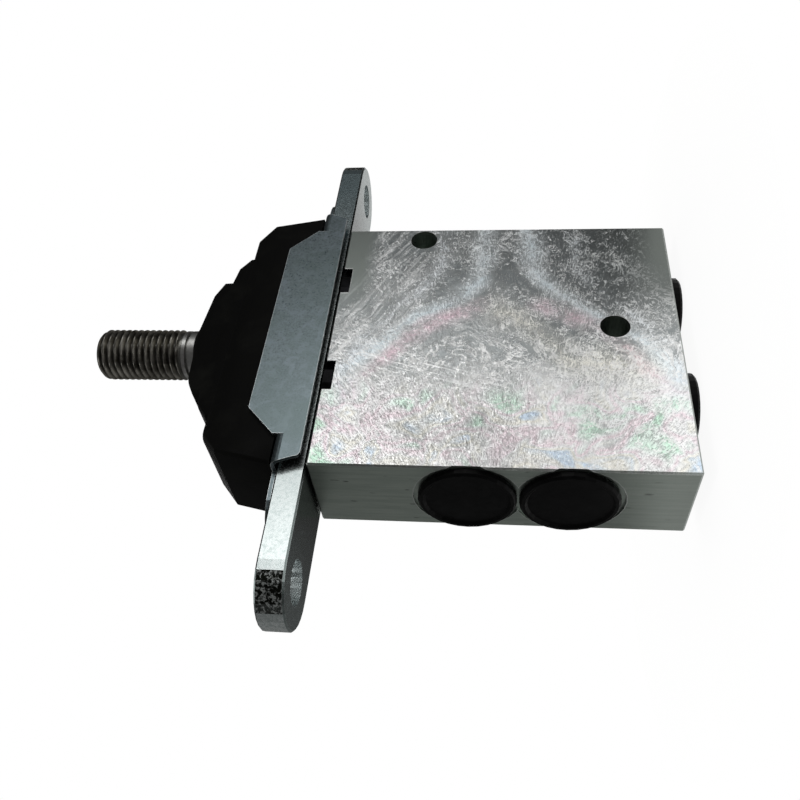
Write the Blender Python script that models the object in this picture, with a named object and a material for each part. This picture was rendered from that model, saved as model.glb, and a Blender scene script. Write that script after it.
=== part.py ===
"""Single-axis hydraulic pilot valve: block, mounting flange, rubber bellows and tilting lever stud.

Metres, +Z along the lever. The origin is on the lever's axis, at the level of the two end caps.
Heights called *_h are measured from the top of the block, upwards; depths called *_depth downwards.
"""

import math

import bmesh
import bpy
from mathutils import Matrix

MM = 0.001

# Clearances
SEAT_GAP = 0.3 * MM          # between pieces that rest on each other
RUN_GAP = 0.08 * MM          # radial, between a sliding or turning piece and its bore
RING_GAP = 0.15 * MM         # all round a seal ring in its groove
BREAKTHROUGH = 2.0 * MM      # how far a cutter runs past the face it opens

# Valve block
BLOCK_LENGTH = 75.0 * MM
PORT_SIDE_REACH = 37.5 * MM  # from the lever's axis to the face with the two side ports
FAR_SIDE_REACH = 32.5 * MM
BLOCK_THICKNESS = 21.0 * MM
BLOCK_CHAMFER = 0.35 * MM
THROUGH_HOLE_RADIUS = 3.2 * MM
UPPER_HOLE_DEPTH = 18.5 * MM
UPPER_HOLE_EDGE = 3.9 * MM   # from the far side face to the hole's centre
LOWER_HOLE_DEPTH = 61.6 * MM

# Side ports
PORT_DEPTHS = (31.2 * MM, 51.4 * MM)
PORT_RADIUS = 5.9 * MM
PORT_BORE_LENGTH = 12.0 * MM
SPOTFACE_RADIUS = 10.9 * MM
SPOTFACE_DEPTH = 0.5 * MM
PASSAGE_RADIUS = 2.2 * MM

# Port caps
CAP_THREAD_CLEARANCE = 0.3 * MM
SIDE_CAP_RADIUS = 9.9 * MM
SIDE_CAP_THICKNESS = 1.4 * MM
END_CAP_RADIUS = 8.0 * MM
END_CAP_THICKNESS = 2.2 * MM
CAP_SHANK_LENGTH = 8.0 * MM
CAP_RIM = 1.6 * MM
CAP_DISH = 0.5 * MM
CAP_EDGE = 0.5 * MM
CAP_WALL = 1.4 * MM

# Plunger bores
PLUNGER_SPACING = 29.0 * MM
PLUNGER_RADIUS = 4.0 * MM
PLUNGER_DOME = 3.5 * MM
BUSH_FLANGE_RADIUS = 10.2 * MM
BUSH_FLANGE_THICKNESS = 2.0 * MM
BUSH_POCKET_RADIUS = 11.3 * MM
BUSH_RADIUS = 7.4 * MM
BUSH_LENGTH = 15.0 * MM
WIPER_RADIUS = 6.1 * MM
WIPER_HEIGHT = 2.6 * MM
WIPER_LIP = 0.7 * MM
RING_SECTION = 0.75 * MM
INNER_RING_DEPTH = 11.4 * MM
OUTER_RING_DEPTH = 6.2 * MM
CHAMBER_RADIUS = 7.0 * MM
CHAMBER_BOTTOM_DEPTH = 47.0 * MM
SPOOL_RADIUS = 4.0 * MM
END_PORT_RADIUS = 5.9 * MM
END_PORT_LENGTH = 10.0 * MM

# Spring seats, springs and spools
SEAT_DEPTH = 21.2 * MM
SEAT_RADIUS = 6.5 * MM
SEAT_THICKNESS = 2.0 * MM
SEAT_BOSS_RADIUS = 1.9 * MM
SEAT_BOSS_LENGTH = 4.0 * MM
RETURN_WIRE = 0.6 * MM
RETURN_COIL_RADIUS = 5.6 * MM
RETURN_TURNS = 6.0
METERING_WIRE = 0.4 * MM
METERING_COIL_RADIUS = 2.7 * MM
METERING_TURNS = 7.0
SPOOL_WASHER_DEPTH = 38.0 * MM
SPOOL_WASHER_RADIUS = 3.6 * MM
SPOOL_WASHER_THICKNESS = 1.2 * MM
SPOOL_STEM_RADIUS = 1.6 * MM
SPOOL_STEM_TOP_DEPTH = 34.5 * MM
SPOOL_LAND_DEPTH = 48.2 * MM
SPOOL_END_CLEARANCE = 1.8 * MM
SPOOL_GROOVE_RADIUS = 2.9 * MM
SPOOL_GROOVE_WIDTH = 4.4 * MM
SPOOL_DRILLING_RADIUS = 1.4 * MM

# Mounting flange
FLANGE_THICKNESS = 5.7 * MM
FLANGE_WIDTH = 18.4 * MM
EAR_HOLE_SPACING = 115.0 * MM
EAR_HOLE_RADIUS = 4.5 * MM
FLANGE_EDGE = 0.35 * MM
PLUNGER_WINDOW_RADIUS = 7.0 * MM
FLANGE_SCREW_X = 28.9 * MM
FLANGE_SCREW_RADIUS = 2.0 * MM
FLANGE_SCREW_HEAD_RADIUS = 3.9 * MM
FLANGE_SCREW_HEAD_HEIGHT = 2.2 * MM
FLANGE_SCREW_REACH = 9.0 * MM
HEX_SOCKET = 1.25 * MM       # half the width across flats
HEX_SOCKET_DEPTH = 1.5 * MM

# Bellows retainer, a folded sheet
SHEET = 0.8 * MM
SIDE_WALL_OUTSIDE = 11.7 * MM
SIDE_WALL_FOOT_H = 1.2 * MM
SIDE_WALL_TOP_H = 13.9 * MM
SIDE_WALL_TAPER = 6.5 * MM   # how much shorter each end of the wall is at its top
TAB_HALF_LENGTH = 37.8 * MM
TAB_BEYOND_WINDOW = 6.8 * MM
TAB_SLANT = 1.4 * MM         # how much shorter each end of the tab is at its foot
TAB_CORNER = 1.2 * MM
TAB_CORNER_START = -75       # degrees
RELIEF_STEP = 0.6 * MM
BEND_RADIUS = 1.8 * MM
TONGUE_HALF_WIDTH = 8.0 * MM
TONGUE_SCREW_BEYOND_TAB = 4.7 * MM
TONGUE_SCREW_RADIUS = 1.9 * MM
TONGUE_SCREW_HEAD_RADIUS = 3.4 * MM
TONGUE_SCREW_HEAD_HEIGHT = 1.5 * MM
TONGUE_SCREW_REACH = 3.6 * MM

# Lever, rocker and pivot
PIVOT_H = 10.8 * MM
PIN_RADIUS = 2.5 * MM
PIN_HALF_LENGTH = 8.8 * MM
CIRCLIP_RADIUS = 4.0 * MM
CIRCLIP_THICKNESS = 0.6 * MM
CIRCLIP_OPENING = 3.0 * MM
CLIP_GROOVE = 0.4 * MM
HUB_RADIUS = 4.5 * MM
HUB_HALF_WIDTH = 4.6 * MM
LUG_THICKNESS = 2.5 * MM
LUG_FOOT_HALF = 6.0 * MM
LUG_SHOULDER_ANGLE = 15      # degrees above level
TENON_HALF = 3.6 * MM
TENON_THICKNESS = 1.9 * MM
TENON_LENGTH = 4.2 * MM
ARM_FACE_ABOVE_PIVOT = 4.5 * MM
ARM_REACH = 18.0 * MM
ARM_HALF_WIDTH = 4.0 * MM
ARM_ROOT_HEIGHT = 4.6 * MM
ARM_TIP_HEIGHT = 2.6 * MM
BOSS_RADIUS = 6.3 * MM
BOSS_TOP_H = 23.6 * MM
STUD_RADIUS = 6.0 * MM
STUD_TOP_H = 57.3 * MM
STUD_CHAMFER = 1.0 * MM
THREAD_START_H = 37.2 * MM
NECK_RADIUS = 5.75 * MM
NECK_BOTTOM_H = 35.5 * MM
UNDERCUT_RADIUS = 5.0 * MM
BAND_BOTTOM_H = 33.3 * MM
BAND_TOP_H = 34.9 * MM
SPIGOT_RADIUS = 3.7 * MM
SPIGOT_LENGTH = 6.0 * MM

# Bellows: a setback is how much shorter than the base each end of a tier is
BELLOWS_WALL = 1.2 * MM
BELLOWS_CORNER = 0.9 * MM
BELLOWS_FOOT = 1.9 * MM
BELLOWS_END_STEP = 0.4 * MM  # from the tab's end to the bellows' end
SHOULDER_H = 19.3 * MM
SHOULDER_SETBACK = 2.5 * MM
LEDGE_H = 23.0 * MM
LEDGE_SETBACK = 6.5 * MM
LEDGE_CORNER = 1.6 * MM
SECOND_TIER_H = 26.6 * MM
SECOND_TIER_SETBACK = 12.6 * MM
SECOND_TIER_SLOPE = 3.0 * MM
THIRD_TIER_STEP_H = 27.5 * MM
THIRD_TIER_EDGE_H = 29.4 * MM
THIRD_TIER_H = 31.2 * MM
THIRD_TIER_SETBACK = 20.2 * MM
THIRD_TIER_SLOPE = 3.1 * MM
THIRD_TIER_CORNER = 2.2 * MM
CROWN_RADIUS = 7.4 * MM
CROWN_H = 32.2 * MM
COLLAR_RADIUS = 6.4 * MM
COLLAR_H = 33.0 * MM

# How finely round shapes are divided
FINE = 28
COARSE = 18
WIRE_SIDES = 4
COIL_STEPS = 8
ALMOST = 0.9999              # keeps the four corners of a round ring apart

# Places that follow from the sizes above
BLOCK_BOTTOM = END_CAP_THICKNESS + SEAT_GAP
BLOCK_TOP = BLOCK_BOTTOM + BLOCK_LENGTH
HALF_THICKNESS = BLOCK_THICKNESS / 2
EAR_X = EAR_HOLE_SPACING / 2
FLANGE_BOTTOM = BLOCK_TOP + SEAT_GAP
FLANGE_TOP = FLANGE_BOTTOM + FLANGE_THICKNESS
SHEET_BOTTOM = FLANGE_TOP + SEAT_GAP
SHEET_TOP = SHEET_BOTTOM + SHEET
SIDE_WALL_INSIDE = SIDE_WALL_OUTSIDE - SHEET
WINDOW_HALF_LENGTH = TAB_HALF_LENGTH - TAB_BEYOND_WINDOW
TONGUE_SCREW_X = TAB_HALF_LENGTH + TONGUE_SCREW_BEYOND_TAB
PIVOT_Z = BLOCK_TOP + PIVOT_H
ARM_FACE_Z = PIVOT_Z + ARM_FACE_ABOVE_PIVOT
PLUNGER_TOP = ARM_FACE_Z - SEAT_GAP
SEAT_TOP = BLOCK_TOP - SEAT_DEPTH
INNER_RING_MEAN = PLUNGER_RADIUS + RING_GAP + RING_SECTION
OUTER_RING_MEAN = BUSH_RADIUS + SEAT_GAP - RING_GAP - RING_SECTION
SIDES = (("right", PLUNGER_SPACING / 2), ("left", -PLUNGER_SPACING / 2))

ALONG_X = Matrix.Rotation(math.radians(90), 4, "Y")
ALONG_Y = Matrix.Rotation(math.radians(-90), 4, "X")
STANDING = Matrix(((1, 0, 0, 0), (0, 0, 1, 0), (0, 1, 0, 0), (0, 0, 0, 1)))
SIDEWAYS = Matrix(((0, 0, 1, 0), (1, 0, 0, 0), (0, 1, 0, 0), (0, 0, 0, 1)))


def clear_scene():
    for old in list(bpy.data.objects):
        bpy.data.objects.remove(old, do_unlink=True)


def make_material(name, colour, roughness, metallic):
    material = bpy.data.materials.new(name)
    material.use_nodes = True
    shader = material.node_tree.nodes["Principled BSDF"]
    shader.inputs["Base Color"].default_value = (*colour, 1.0)
    shader.inputs["Roughness"].default_value = roughness
    shader.inputs["Metallic"].default_value = metallic
    return material


FINISHES = {
    "machined": ((0.62, 0.64, 0.63), 0.42, 1.0),
    "zinc": ((0.55, 0.60, 0.60), 0.45, 1.0),
    "steel": ((0.36, 0.35, 0.34), 0.38, 1.0),
    "bright": ((0.70, 0.70, 0.70), 0.25, 1.0),
    "black_oxide": ((0.03, 0.03, 0.035), 0.4, 0.6),
    "rubber": ((0.012, 0.012, 0.012), 0.62, 0.0),
    "plastic": ((0.01, 0.01, 0.012), 0.3, 0.0),
}


def finished_object(name, shape, finish, place=Matrix.Identity(4)):
    """Turns a bmesh into a named object with its own material, round faces smooth."""
    bmesh.ops.remove_doubles(shape, verts=shape.verts, dist=1e-7)
    bmesh.ops.recalc_face_normals(shape, faces=shape.faces)
    mesh = bpy.data.meshes.new(name)
    shape.to_mesh(mesh)
    shape.free()
    mesh.shade_smooth()
    mesh.set_sharp_from_angle(angle=math.radians(32))
    thing = bpy.data.objects.new(name, mesh)
    thing.matrix_world = place
    colour, roughness, metallic = FINISHES[finish]
    mesh.materials.append(make_material(name, colour, roughness, metallic))
    bpy.context.scene.collection.objects.link(thing)
    return thing


def shift(x=0.0, y=0.0, z=0.0):
    return Matrix.Translation((x, y, z))


def turned(profile, segments, closed=False):
    """A shape turned about Z from (radius, height) points, flat where it starts or ends on the axis.

    A closed profile makes a ring.
    """
    shape = bmesh.new()
    rows = []
    for radius, height in profile:
        if radius > 0:
            angles = [2 * math.pi * step / segments for step in range(segments)]
            circle = [(radius * math.cos(angle), radius * math.sin(angle), height) for angle in angles]
            rows.append([shape.verts.new(point) for point in circle])
    pairs = list(zip(rows, rows[1:]))
    if closed:
        pairs.append((rows[-1], rows[0]))
    else:
        shape.faces.new(rows[0])
        shape.faces.new(rows[-1])
    for low, high in pairs:
        for step in range(segments):
            after = (step + 1) % segments
            shape.faces.new([low[step], low[after], high[after], high[step]])
    return shape


def rod(radius, low, high, segments=COARSE):
    return turned([(0, low), (radius, low), (radius, high), (0, high)], segments)


def prism(outline, low, high):
    """An outline in X and Y, raised from low to high along Z."""
    shape = bmesh.new()
    bottom = [shape.verts.new((x, y, low)) for x, y in outline]
    top = [shape.verts.new((x, y, high)) for x, y in outline]
    shape.faces.new(bottom)
    shape.faces.new(top)
    for index in range(len(outline)):
        after = (index + 1) % len(outline)
        shape.faces.new([bottom[index], bottom[after], top[after], top[index]])
    return shape


def standing_prism(outline, low, high):
    """An outline in X and Z, raised from low to high along Y."""
    shape = prism(outline, low, high)
    return placed(shape, STANDING)


def box(x, y, z):
    """A box from three (low, high) pairs."""
    return prism([(x[0], y[0]), (x[1], y[0]), (x[1], y[1]), (x[0], y[1])], *z)


def arc(x, y, radius, start, end, steps):
    """Points on an arc between two angles in degrees, both ends included."""
    angles = [math.radians(start + (end - start) * step / steps) for step in range(steps + 1)]
    return [(x + radius * math.cos(angle), y + radius * math.sin(angle)) for angle in angles]


def stadium(half_length, radius, steps=FINE // 2):
    """A strip with full round ends: half_length is to the ends' centres."""
    return arc(half_length, 0, radius, -90, 90, steps) + arc(-half_length, 0, radius, 90, 270, steps)


def rounded_rectangle(half_length, half_width, radius, steps=4):
    points = []
    for turn, (sx, sy) in enumerate(((1, 1), (-1, 1), (-1, -1), (1, -1))):
        centre = (sx * (half_length - radius), sy * (half_width - radius))
        points += arc(*centre, radius, 90 * turn, 90 * turn + 90, steps)
    return points


def hexagon(half_flats):
    corners = [math.radians(angle) for angle in range(0, 360, 60)]
    reach = half_flats / math.cos(math.radians(30))
    return [(reach * math.cos(angle), reach * math.sin(angle)) for angle in corners]


def placed(shape, place):
    bmesh.ops.transform(shape, matrix=place, verts=shape.verts)
    return shape


def gathered(shapes):
    """Several shapes that don't meet, as one."""
    everything = bmesh.new()
    for shape in shapes:
        copies = {}
        for vert in shape.verts:
            copies[vert] = everything.verts.new(vert.co)
        for face in shape.faces:
            everything.faces.new([copies[vert] for vert in face.verts])
        shape.free()
    return everything


def combine(target, shape, operation, place=Matrix.Identity(4)):
    """Adds a Boolean to target, with the shape kept as a hidden helper."""
    helper = finished_object(target.name + "_helper", shape, "plastic", place)
    helper.hide_render = True
    helper.display_type = "WIRE"
    boolean = target.modifiers.new(operation.lower(), "BOOLEAN")
    boolean.operation = operation
    boolean.solver = "EXACT"
    boolean.object = helper


def cut(target, shape, place=Matrix.Identity(4)):
    combine(target, shape, "DIFFERENCE", place)


def join(target, shape, place=Matrix.Identity(4)):
    combine(target, shape, "UNION", place)


def bevel_edges(target, width, angle=50, segments=1):
    bevel = target.modifiers.new("edges", "BEVEL")
    bevel.width = width
    bevel.segments = segments
    bevel.limit_method = "ANGLE"
    bevel.angle_limit = math.radians(angle)


def plunger_bore():
    """The stepped bore of one plunger, spring chamber, spool and end port, as a cutter."""
    pocket_bottom = BLOCK_TOP - BUSH_FLANGE_THICKNESS - SEAT_GAP
    bush_seat = BLOCK_TOP - BUSH_LENGTH - SEAT_GAP
    chamber_bottom = BLOCK_TOP - CHAMBER_BOTTOM_DEPTH
    end_port_top = BLOCK_BOTTOM + END_PORT_LENGTH
    profile = [
        (0, BLOCK_BOTTOM - BREAKTHROUGH),
        (END_PORT_RADIUS, BLOCK_BOTTOM - BREAKTHROUGH),
        (END_PORT_RADIUS, end_port_top),
        (SPOOL_RADIUS + RUN_GAP, end_port_top),
        (SPOOL_RADIUS + RUN_GAP, chamber_bottom),
        (CHAMBER_RADIUS, chamber_bottom),
        (CHAMBER_RADIUS, bush_seat),
        (BUSH_RADIUS + SEAT_GAP, bush_seat),
        (BUSH_RADIUS + SEAT_GAP, pocket_bottom),
        (BUSH_POCKET_RADIUS, pocket_bottom),
        (BUSH_POCKET_RADIUS, BLOCK_TOP + BREAKTHROUGH),
        (0, BLOCK_TOP + BREAKTHROUGH),
    ]
    return turned(profile, FINE)


def side_port():
    """Spot face and threaded bore of a side port, along +Z from the face."""
    profile = [
        (0, -BREAKTHROUGH),
        (SPOTFACE_RADIUS, -BREAKTHROUGH),
        (SPOTFACE_RADIUS, SPOTFACE_DEPTH),
        (PORT_RADIUS, SPOTFACE_DEPTH),
        (PORT_RADIUS, PORT_BORE_LENGTH),
        (0, PORT_BORE_LENGTH),
    ]
    return turned(profile, FINE)


def make_valve_body():
    length, thickness = (-PORT_SIDE_REACH, FAR_SIDE_REACH), (-HALF_THICKNESS, HALF_THICKNESS)
    body = finished_object("valve_body", box(length, thickness, (BLOCK_BOTTOM, BLOCK_TOP)), "machined")
    bevel_edges(body, BLOCK_CHAMFER)
    for _, x in SIDES:
        cut(body, plunger_bore(), shift(x=x))
    for x in (-FLANGE_SCREW_X, FLANGE_SCREW_X):
        radius = FLANGE_SCREW_RADIUS + SEAT_GAP
        hole = rod(radius, -FLANGE_SCREW_REACH - SEAT_GAP, BREAKTHROUGH, COARSE // 2)
        cut(body, hole, shift(x=x, z=BLOCK_TOP))
    for depth in PORT_DEPTHS:
        cut(body, side_port(), shift(x=-PORT_SIDE_REACH, z=BLOCK_TOP - depth) @ ALONG_X)
        far_bore = PORT_SIDE_REACH + PLUNGER_SPACING / 2
        passage = rod(PASSAGE_RADIUS, PORT_BORE_LENGTH - BREAKTHROUGH, far_bore, COARSE // 2)
        cut(body, passage, shift(x=-PORT_SIDE_REACH, z=BLOCK_TOP - depth) @ ALONG_X)
    for x, depth in ((FAR_SIDE_REACH - UPPER_HOLE_EDGE, UPPER_HOLE_DEPTH), (0, LOWER_HOLE_DEPTH)):
        reach = HALF_THICKNESS + BREAKTHROUGH
        hole = rod(THROUGH_HOLE_RADIUS, -reach, reach, FINE)
        cut(body, hole, shift(x=x, z=BLOCK_TOP - depth) @ ALONG_Y)


def make_port_cap(name, radius, thickness, bore_radius, place):
    """A moulded cap: a dished disc with a hollow shank that fills a port. +Z points into the port."""
    shank = bore_radius - CAP_THREAD_CLEARANCE
    profile = [
        (0, -thickness + CAP_DISH),
        (radius - CAP_RIM, -thickness + CAP_DISH),
        (radius - CAP_RIM + CAP_DISH, -thickness),
        (radius - CAP_EDGE, -thickness),
        (radius, -thickness + CAP_EDGE),
        (radius, 0),
        (shank, 0),
        (shank, CAP_SHANK_LENGTH),
        (shank - CAP_WALL, CAP_SHANK_LENGTH),
        (shank - CAP_WALL, CAP_EDGE),
        (0, CAP_EDGE),
    ]
    finished_object(name, turned(profile, FINE), "plastic", place)


def make_port_caps():
    for name, depth in zip(("tank_port_cap", "supply_port_cap"), PORT_DEPTHS):
        seat = shift(x=-PORT_SIDE_REACH + SPOTFACE_DEPTH - SEAT_GAP, z=BLOCK_TOP - depth)
        make_port_cap(name, SIDE_CAP_RADIUS, SIDE_CAP_THICKNESS, PORT_RADIUS, seat @ ALONG_X)
    for side, x in SIDES:
        seat = shift(x=x, z=BLOCK_BOTTOM - SEAT_GAP)
        make_port_cap("end_port_cap_" + side, END_CAP_RADIUS, END_CAP_THICKNESS, END_PORT_RADIUS, seat)


def make_mounting_flange():
    strip = prism(stadium(EAR_X, FLANGE_WIDTH / 2), FLANGE_BOTTOM, FLANGE_TOP)
    flange = finished_object("mounting_flange", strip, "zinc")
    bevel_edges(flange, FLANGE_EDGE)
    low, high = FLANGE_BOTTOM - BREAKTHROUGH, FLANGE_TOP + BREAKTHROUGH
    holes = []
    for x in (-EAR_X, EAR_X):
        holes.append(placed(rod(EAR_HOLE_RADIUS, low, high, FINE), shift(x=x)))
    for _, x in SIDES:
        holes.append(placed(rod(PLUNGER_WINDOW_RADIUS, low, high, FINE), shift(x=x)))
    shank, head = FLANGE_SCREW_RADIUS + SEAT_GAP, FLANGE_SCREW_HEAD_RADIUS + SEAT_GAP
    seat = FLANGE_TOP - FLANGE_SCREW_HEAD_HEIGHT - SEAT_GAP
    countersink = [(0, low), (shank, low), (shank, seat), (head, FLANGE_TOP), (head, high), (0, high)]
    for x in (-FLANGE_SCREW_X, FLANGE_SCREW_X):
        holes.append(placed(turned(countersink, COARSE), shift(x=x)))
    for x in (-TONGUE_SCREW_X, TONGUE_SCREW_X):
        blind = rod(TONGUE_SCREW_RADIUS + SEAT_GAP, FLANGE_TOP - TONGUE_SCREW_REACH - SEAT_GAP, high)
        holes.append(placed(blind, shift(x=x)))
    for y in lug_centres():
        slot_x, slot_y = TENON_HALF + SEAT_GAP, TENON_THICKNESS / 2 + SEAT_GAP
        slot_bottom = FLANGE_TOP - TENON_LENGTH - SEAT_GAP
        holes.append(box((-slot_x, slot_x), (y - slot_y, y + slot_y), (slot_bottom, high)))
    cut(flange, gathered(holes))


def lug_centres():
    centre = HUB_HALF_WIDTH + SEAT_GAP + LUG_THICKNESS / 2
    return (-centre, centre)


def make_flange_screws():
    """Countersunk screws that hold the block under the flange."""
    top = FLANGE_TOP - SEAT_GAP
    seat = top - FLANGE_SCREW_HEAD_HEIGHT
    tip = BLOCK_TOP - FLANGE_SCREW_REACH
    profile = [
        (0, tip),
        (FLANGE_SCREW_RADIUS, tip),
        (FLANGE_SCREW_RADIUS, seat),
        (FLANGE_SCREW_HEAD_RADIUS, top),
        (0, top),
    ]
    for name, x in (("flange_screw_right", FLANGE_SCREW_X), ("flange_screw_left", -FLANGE_SCREW_X)):
        screw = finished_object(name, turned(profile, COARSE), "steel", shift(x=x))
        cut(screw, prism(hexagon(HEX_SOCKET), top - HEX_SOCKET_DEPTH, top + BREAKTHROUGH), shift(x=x))


def make_retainer_screws():
    """Round-headed screws through the retainer's two tongues."""
    seat = SHEET_TOP + SEAT_GAP
    tip = FLANGE_TOP - TONGUE_SCREW_REACH
    profile = [(0, tip), (TONGUE_SCREW_RADIUS, tip), (TONGUE_SCREW_RADIUS, seat)]
    for angle in (0, 22, 42, 64):
        across = math.cos(math.radians(angle))
        rise = math.sin(math.radians(angle))
        profile.append((TONGUE_SCREW_HEAD_RADIUS * across, seat + TONGUE_SCREW_HEAD_HEIGHT * rise))
    profile.append((0, profile[-1][1]))
    top = profile[-1][1]
    for name, x in (("retainer_screw_right", TONGUE_SCREW_X), ("retainer_screw_left", -TONGUE_SCREW_X)):
        screw = finished_object(name, turned(profile, COARSE), "zinc", shift(x=x))
        cut(screw, prism(hexagon(HEX_SOCKET), top - HEX_SOCKET_DEPTH, top + BREAKTHROUGH), shift(x=x))


def side_wall_outline():
    """One side wall of the retainer above the bend, in X and Z: a trapezoid beside the bellows."""
    top = BLOCK_TOP + SIDE_WALL_TOP_H
    foot = BLOCK_TOP + SIDE_WALL_FOOT_H
    relief = SHEET_TOP + RELIEF_STEP
    half = [
        (WINDOW_HALF_LENGTH, foot),
        (WINDOW_HALF_LENGTH, relief),
        (WINDOW_HALF_LENGTH - SIDE_WALL_TAPER, top),
    ]
    return half + [(-x, z) for x, z in reversed(half)]


def make_bellows_retainer():
    """One folded sheet: two tabs bent down over the flange's edges, two side walls, two tongues."""
    foot = BLOCK_TOP + SIDE_WALL_FOOT_H
    outside, inside = SIDE_WALL_OUTSIDE, SIDE_WALL_INSIDE
    bend = BEND_RADIUS
    inner_bend = BEND_RADIUS - SHEET
    outer = arc(outside - bend, SHEET_TOP - bend, bend, 0, 90, 5)
    outer += [(-x, z) for x, z in reversed(outer)]
    inner = arc(inside - inner_bend, SHEET_BOTTOM - inner_bend, inner_bend, 0, 90, 3)
    inner += [(-x, z) for x, z in reversed(inner)]
    section = [(outside, foot)] + outer + [(-outside, foot), (-inside, foot)]
    section += inner[::-1] + [(inside, foot)]
    channel = placed(prism(section, -TAB_HALF_LENGTH, TAB_HALF_LENGTH), SIDEWAYS)
    retainer = finished_object("bellows_retainer", channel, "zinc")
    for low, high in ((inside, outside), (-outside, -inside)):
        join(retainer, standing_prism(side_wall_outline(), low, high))
    join(retainer, prism(stadium(TONGUE_SCREW_X, TONGUE_HALF_WIDTH), SHEET_BOTTOM, SHEET_TOP))
    opening = box((-WINDOW_HALF_LENGTH, WINDOW_HALF_LENGTH), (-inside, inside),
                  (SHEET_BOTTOM - BEND_RADIUS, BLOCK_TOP + SIDE_WALL_TOP_H + BREAKTHROUGH))
    cut(retainer, opening)
    for side in (-1, 1):
        reach = outside + BREAKTHROUGH
        corner = [(side * x, z) for x, z in tab_corner_outline()]
        cut(retainer, standing_prism(corner, -reach, reach))
        hole = rod(TONGUE_SCREW_RADIUS + SEAT_GAP, SHEET_BOTTOM - BREAKTHROUGH, SHEET_TOP + BREAKTHROUGH)
        cut(retainer, hole, shift(x=side * TONGUE_SCREW_X))


def tab_corner_outline():
    """What is cut off each end of a tab, in X and Z: its slanted end and its rounded corner."""
    foot = BLOCK_TOP + SIDE_WALL_FOOT_H
    end = TAB_HALF_LENGTH + BREAKTHROUGH
    centre_x = TAB_HALF_LENGTH - TAB_SLANT - TAB_CORNER
    outline = [(TAB_HALF_LENGTH, SHEET_BOTTOM), (end, SHEET_BOTTOM), (end, foot - BREAKTHROUGH)]
    outline.append((centre_x, foot - BREAKTHROUGH))
    return outline + arc(centre_x, foot + TAB_CORNER, TAB_CORNER, TAB_CORNER_START, 0, 5)


def bellows_rings():
    """Outer rings of the bellows, lip to collar: height, half length, half width, corner radius."""
    base = TAB_HALF_LENGTH - BELLOWS_END_STEP
    second = base - SECOND_TIER_SETBACK
    third = base - THIRD_TIER_SETBACK
    lip = WINDOW_HALF_LENGTH - SEAT_GAP
    width = SIDE_WALL_INSIDE - SEAT_GAP
    narrow = (width - CROWN_RADIUS) / 3
    lip_h = FLANGE_TOP + SEAT_GAP - BLOCK_TOP
    base_h = SHEET_TOP + SEAT_GAP - BLOCK_TOP
    rounding = COLLAR_H - CROWN_H
    shoulder = COLLAR_RADIUS + rounding / 3
    return [
        (lip_h, lip, width, BELLOWS_CORNER),
        (base_h, lip, width, BELLOWS_CORNER),
        (base_h, base, width, BELLOWS_CORNER),
        (SHOULDER_H, base - SHOULDER_SETBACK, width - 0.1 * narrow, BELLOWS_CORNER),
        (LEDGE_H, base - LEDGE_SETBACK, width - narrow, LEDGE_CORNER),
        (LEDGE_H, second, width - 1.9 * narrow, BELLOWS_CORNER),
        (LEDGE_H + BELLOWS_WALL, second, width - 2 * narrow, BELLOWS_CORNER),
        (SECOND_TIER_H, second - SECOND_TIER_SLOPE, width - 2.3 * narrow, BELLOWS_CORNER),
        (THIRD_TIER_STEP_H, third, width - 2.7 * narrow, BELLOWS_CORNER),
        (THIRD_TIER_EDGE_H, third, width - 2.8 * narrow, BELLOWS_CORNER),
        (THIRD_TIER_H, third - THIRD_TIER_SLOPE, CROWN_RADIUS, THIRD_TIER_CORNER),
        (CROWN_H, CROWN_RADIUS, CROWN_RADIUS, CROWN_RADIUS),
        (COLLAR_H - rounding / 2, shoulder, shoulder, COLLAR_RADIUS),
        (COLLAR_H, COLLAR_RADIUS, COLLAR_RADIUS, COLLAR_RADIUS),
    ]


def bellows_inside():
    """Inner rings of the bellows, from its collar down to the foot that it turns in over the flange."""
    rings = bellows_rings()
    neck = UNDERCUT_RADIUS + SEAT_GAP
    inner = [(COLLAR_H, neck, neck, neck), (CROWN_H - BELLOWS_WALL, neck, neck, neck)]
    for h, length, width, corner in rings[-4:2:-1]:
        inner.append((h - BELLOWS_WALL, length - BELLOWS_WALL, width - BELLOWS_WALL, corner))
    lip_h, lip, width, corner = rings[0]
    foot_h = rings[1][0]
    inner.append((foot_h, lip - BELLOWS_WALL, width - BELLOWS_WALL, corner))
    inner.append((foot_h, lip - BELLOWS_FOOT, width - BELLOWS_FOOT, corner))
    inner.append((lip_h, lip - BELLOWS_FOOT, width - BELLOWS_FOOT, corner))
    return inner


def make_bellows():
    """A stepped rubber gaiter, open below and gripping the stud's groove above."""
    shape = bmesh.new()
    rows = []
    for h, length, width, corner in bellows_rings() + bellows_inside():
        radius = min(corner, width * ALMOST, length * ALMOST)
        outline = rounded_rectangle(length, width, radius)
        rows.append([shape.verts.new((x, y, BLOCK_TOP + h)) for x, y in outline])
    count = len(rows[0])
    for low, high in zip(rows, rows[1:] + rows[:1]):
        for index in range(count):
            after = (index + 1) % count
            shape.faces.new([low[index], low[after], high[after], high[index]])
    finished_object("bellows", shape, "rubber")


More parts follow.
